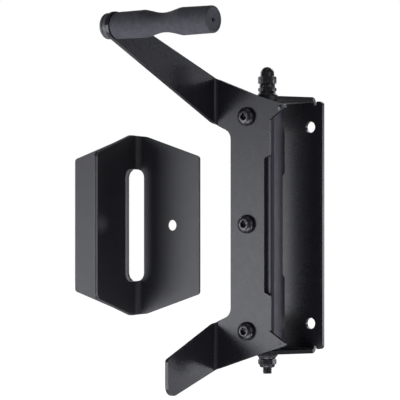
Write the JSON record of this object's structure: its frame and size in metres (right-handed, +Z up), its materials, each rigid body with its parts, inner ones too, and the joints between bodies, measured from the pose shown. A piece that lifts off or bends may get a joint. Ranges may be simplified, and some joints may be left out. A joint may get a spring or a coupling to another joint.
{
  "type": "swivelling wall-mounted bicycle hanger with wheel guide",
  "caption": "Folded steel wall bracket with an upright pivot, a C-shaped swinging arm ending in a rubber-gripped wheel peg, and a separate T-shaped slotted wheel guide.",
  "frame": {"origin": "centre of the wall bracket's back face, in the plane of the wall", "axes": "+X runs right along the wall seen from the room, +Y runs into the wall, +Z is up"},
  "size_m": [0.274, 0.1875, 0.2961],
  "materials": {
    "black_coat": "semi-gloss black powder coat",
    "black_zinc": "black zinc plate",
    "rod_steel": "plain turned steel",
    "rubber": "matt moulded rubber",
    "nylon": "matt moulded nylon"
  },
  "bodies": {
    "wall_parts": {"wall_bracket": "black_coat", "pivot_rod": "black_zinc", "upper_cone_washer": "black_zinc", "lower_cone_washer": "black_zinc", "jam_nut": "black_zinc", "cap_collar": "black_zinc", "cap_nut": "black_zinc", "lock_nut": "black_zinc", "lock_nut_insert": "nylon", "guide_right_angle": "black_coat", "guide_left_angle": "black_coat", "guide_upper_weld": "black_coat", "guide_lower_weld": "black_coat"},
    "swing_arm": {"hinge_leaf": "black_coat", "upper_bush": "nylon", "lower_bush": "nylon", "arm_plate": "black_coat", "screw_top": "black_zinc", "screw_middle": "black_zinc", "screw_bottom": "black_zinc", "nut_top": "black_zinc", "nut_middle": "black_zinc", "nut_bottom": "black_zinc", "grip_sleeve": "rubber", "peg_rod": "rod_steel", "peg_washer": "black_zinc", "peg_screw": "black_zinc", "peg_cap": "nylon"}
  },
  "joints": [
    {"name": "arm_swing", "type": "hinge", "parent": "wall_parts", "child": "swing_arm", "pos_m": [0, -0.033, 0], "axis": [0, 0, 1], "range_deg": [-58, 68]}
  ]
}
